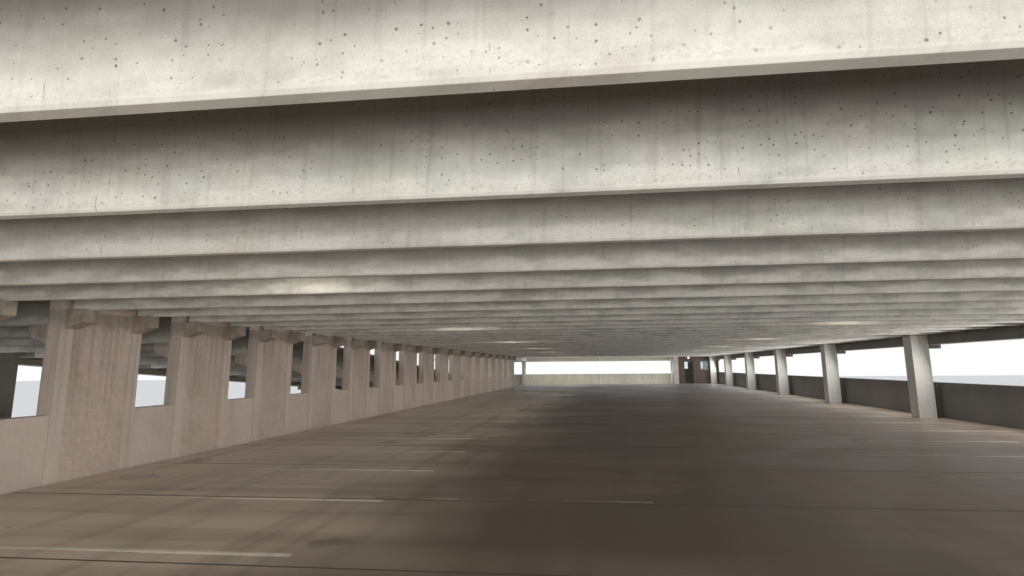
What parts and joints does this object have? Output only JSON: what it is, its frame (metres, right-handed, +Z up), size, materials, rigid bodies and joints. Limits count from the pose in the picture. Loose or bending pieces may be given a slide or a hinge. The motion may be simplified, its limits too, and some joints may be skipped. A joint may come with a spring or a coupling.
{
  "type": "multi storey car park, half-scale model",
  "caption": "Precast concrete parking structure with double-tee decks on wall piers, a straight ramp bay, ledger spandrels and a brick stair tower.",
  "frame": {"origin": "on the ground at the middle of the footprint", "axes": "+Y along the aisle, away from the picture's viewpoint; +X to its right, towards the open side; +Z up"},
  "size_m": [13.027, 39.256, 4.74],
  "materials": {
    "brick": "red-brown brickwork",
    "column_concrete": "precast concrete",
    "frame_metal": "mill finish",
    "lamp_metal": "white powder coat",
    "pier_concrete": "stained precast concrete",
    "pipe_metal": "white paint",
    "ramp_fill_concrete": "cast slab on fill",
    "roof_concrete": "cast slab",
    "spandrel_concrete": "light sandblasted precast concrete",
    "tee_concrete": "precast concrete with small air holes, steel-form face",
    "window_glass": "clear"
  },
  "bodies": {
    "root": {"crossover_girders": "tee_concrete", "crossover_tees": "tee_concrete", "drain_pipes": "pipe_metal", "east_columns": "column_concrete", "east_spandrels": "spandrel_concrete", "far_end_walls": "spandrel_concrete", "ground_walls": "spandrel_concrete", "inner_columns": "column_concrete", "level_1_bay_tees": "tee_concrete", "level_2_bay_tees": "tee_concrete", "lower_ramp_fill": "ramp_fill_concrete", "lower_ramp_tees": "tee_concrete", "luminaires": "lamp_metal", "near_end_walls": "spandrel_concrete", "pier_barriers": "pier_concrete", "ramp_head_wall": "spandrel_concrete", "stair_tower_east_wall": "brick", "stair_tower_far_wall": "brick", "stair_tower_landings": "roof_concrete", "stair_tower_near_wall": "brick", "stair_tower_roof": "roof_concrete", "stair_tower_west_wall": "brick", "stair_tower_window_frames": "frame_metal", "stair_tower_window_glass": "window_glass", "upper_ramp_tees": "tee_concrete", "wall_pier_01": "pier_concrete", "wall_pier_02": "pier_concrete", "wall_pier_03": "pier_concrete", "wall_pier_04": "pier_concrete", "wall_pier_05": "pier_concrete", "wall_pier_06": "pier_concrete", "wall_pier_07": "pier_concrete", "wall_pier_08": "pier_concrete", "wall_pier_09": "pier_concrete", "wall_pier_10": "pier_concrete", "wall_pier_11": "pier_concrete", "wall_pier_12": "pier_concrete", "wall_pier_13": "pier_concrete", "wall_pier_14": "pier_concrete", "wall_pier_15": "pier_concrete", "wall_pier_16": "pier_concrete", "wall_pier_17": "pier_concrete", "wall_pier_18": "pier_concrete", "west_columns": "column_concrete", "west_spandrels": "spandrel_concrete"}
  },
  "joints": []
}
